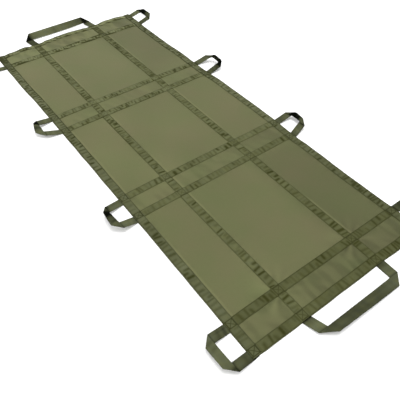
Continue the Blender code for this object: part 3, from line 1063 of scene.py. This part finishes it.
class Loop:
    """A loop or handle, shaped about its own hinge axis past the edge."""

    def __init__(self, name, node, turn, size, seed, rests_on):
        """Turn is how far round Z the loop points from straight ahead, in radians."""
        self.name, self.node, self.size, self.seed, self.rests_on = name, node, size, seed, rests_on
        self.half = size.width / 2
        self.corner = size.leg + self.half
        self.total = 2 * self.corner + size.spacing
        self.lie = LIES[node]
        self.place = Matrix.Translation(HINGES[node]) @ Matrix.Rotation(turn, 4, "Z")

    def grid(self):
        """Places along and across the webbing."""
        half = self.half
        rows = loop_rows(self.size, self.corner)
        edge = half - np.array(LOOP_EDGE_COLUMNS)
        columns = np.concatenate([-edge[::-1], np.linspace(-0.6, 0.6, 5) * half, edge])
        along = rows[:, :1] + rows[:, 1:] * columns[None, :]
        return along, np.broadcast_to(columns, along.shape)

    def points(self, along, across):
        """Points on the webbing's middle surface, and how far out they lay when it was flat."""
        spacing, width, leg = self.size[:3]
        leans, rises, grips = (np.radians(pair) for pair in self.lie[:3])
        sideways, outward, height = flat_loop(along, across, spacing, self.corner)
        beyond_leg = spacing / 2 - np.abs(along - self.corner - spacing / 2)
        bend = math.radians(self.lie.curl) / 2 * ease(beyond_leg / (0.8 * width))
        outward, height = curled(outward, height, across, bend, self.half)
        share = np.clip(sideways / spacing + 0.5, 0, 1)
        inner = np.clip(sideways / (spacing - width) + 0.5, 0, 1)
        leg_slope = rises[0] + (rises[1] - rises[0]) * share
        grip_slope = grips[0] + (grips[1] - grips[0]) * share
        slant = math.tan(leans[0]) * (1 - inner) - math.tan(leans[1]) * inner
        cup = CUP_DEPTH * noise(along / 0.045, across / 0.03, self.seed) * ease(outward / 0.02)
        reach, lift = rise(outward, height + cup, leg, leg_slope, grip_slope)
        sag = GRIP_SAG * spacing * math.sin(sum(grips) / 2)
        lift -= sag * 4 * share * (1 - share) * ease(outward / leg)
        local = np.stack([sideways + outward * slant, reach, lift], axis=2)
        matrix = np.array(self.place)
        return local @ matrix[:3, :3].T + matrix[:3, 3], outward

    def shade(self, along, across, outward):
        """The tones of the lie, with streaks, and painted shade at the root, edges and under the grip.

        The tones hold painted shade too, black on faces turned away from the light.
        """
        leg, seed = self.size.leg, self.seed
        stops, values = zip(*self.lie.tones)
        marks = [0.0, self.corner, self.corner + self.size.spacing, self.total]
        shade = np.interp(np.interp(along, marks, [0.0, 1.0, 2.0, 3.0]), stops, values)
        shade += self.size.streaks * noise(along / 0.011 + across / 0.05, across / 0.03, seed + 5)
        shade += 0.07 * noise(along / 0.060, across / 0.006, seed + 6)
        on_leg = np.minimum(along, self.total - along) < self.corner
        under_grip = line_at(np.minimum(outward - leg, 0.0), 0.0035) * (outward < leg + 0.002)
        shade += 0.30 * on_leg * under_grip + 0.20 * line_at(outward, 0.004)
        shade += 0.14 * ease((np.abs(across) - self.half + 0.0022) / LOOP_SELVAGE)
        return np.clip(shade, 0, 1)

    def build(self):
        """The webbing as a thin closed body."""
        along, across = self.grid()
        points, outward = self.points(along, across)
        thin = np.full(along.shape, WEBBING_THICKNESS / 2)
        selvage = ease((np.abs(across) - self.half + LOOP_SELVAGE) / LOOP_SELVAGE)
        thin *= 1 - SELVAGE_THINNER * selvage
        uvs = np.stack([along, across], axis=2)
        piece = slab(self.name, points, thin, LOOP, uvs, self.shade(along, across, outward))
        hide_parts(self.node)
        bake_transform(piece)


def make_loops():
    """The eight side loops and the two end handles."""
    for side, sign in zip(SIDES, (-1, 1)):
        for number in range(1, len(PAIR_PLACES) + 1):
            Loop(
                f"loop_{side}_{number}", f"side_loop_{side}_{number}", -sign * math.pi / 2,
                SIDE_LOOP, 200 + number + 10 * sign, f"webbing_edge_{side}",
            ).build()
    for end, turn, seed, strap in (("far", 0.0, 231, 1), ("near", math.pi, 229, 8)):
        rests_on = f"webbing_cross_{strap}"
        Loop(f"handle_{end}", f"end_handle_{end}", turn, END_HANDLE, seed, rests_on).build()


# Floor, light and camera

FLOOR_HALF = 12.0
FLOOR_BELOW = 0.0004
FLOOR_TONES = ((0.95, 0.95, 0.95), (0.97, 0.97, 0.97))
WORLD_STRENGTH = 1.22
SOFTBOX_SPREAD = 24
SOFTBOX_STRENGTH = 1.05
SOFTBOX_AIM = (-0.06, -0.02, -1.0)
# The photograph's view, as solved from the places of the straps and edges
SENSOR_WIDTH = 36.0
LENS = 41.878
CAMERA_PLACE = (-0.8437, -1.3542, 1.2692)
CAMERA_RIGHT = (0.80251, -0.59663, -0.00098)
CAMERA_AHEAD = (0.40247, 0.54257, -0.73731)


def make_floor():
    """A plain pale floor."""
    points = FLOOR_HALF * np.array([(-1, -1, 0), (1, -1, 0), (1, 1, 0), (-1, 1, 0)])
    points[:, Z] = -FLOOR_BELOW
    material = bpy.data.materials.new("floor")
    material.use_nodes = True
    tree = material.node_tree
    shader = tree.nodes["Principled BSDF"]
    place = tree.nodes.new("ShaderNodeTexCoord").outputs["Object"]
    tone = noise_node(tree, place, 0.7, 1.0)
    colour = mix_colours(tree, tone, *FLOOR_TONES)
    fill(tree, shader, {"Roughness": 0.9, "Specular IOR Level": 0.0, "Base Color": colour})
    floor = make_object("floor", points, [(0, 1, 2, 3)], material)


def make_light():
    """An even pale surrounding, and a large softbox overhead, a little to the right."""
    world = bpy.data.worlds.new("studio")
    bpy.context.scene.world = world
    world.use_nodes = True
    background = world.node_tree.nodes["Background"]
    background.inputs["Color"].default_value = (1.0, 1.0, 1.0, 1.0)
    background.inputs["Strength"].default_value = WORLD_STRENGTH
    data = bpy.data.lights.new("softbox", "SUN")
    data.angle = math.radians(SOFTBOX_SPREAD)
    data.energy = SOFTBOX_STRENGTH
    lamp = bpy.data.objects.new("softbox", data)
    lamp.rotation_mode = "QUATERNION"
    lamp.rotation_quaternion = Vector(SOFTBOX_AIM).to_track_quat("-Z", "Y")
    bpy.context.scene.collection.objects.link(lamp)


def make_camera():
    """The camera, placed and turned as the photograph's."""
    data = bpy.data.cameras.new("camera")
    data.sensor_width = SENSOR_WIDTH
    data.lens = LENS
    data.clip_start, data.clip_end = 0.05, 60.0
    camera = bpy.data.objects.new("camera", data)
    right = Vector(CAMERA_RIGHT).normalized()
    back = -Vector(CAMERA_AHEAD).normalized()
    up = back.cross(right).normalized()
    matrix = Matrix((right, up, back)).transposed().to_4x4()
    matrix.translation = CAMERA_PLACE
    camera.matrix_world = matrix
    bpy.context.scene.collection.objects.link(camera)
    bpy.context.scene.camera = camera


make_camera()
make_light()
make_floor()
cloth = make_cloth()
straps = list_straps()
strap_pieces = [strap.build() for strap in straps]
stitching = make_stitching(straps)
make_loops()
bpy.context.scene.view_settings.view_transform = "Standard"
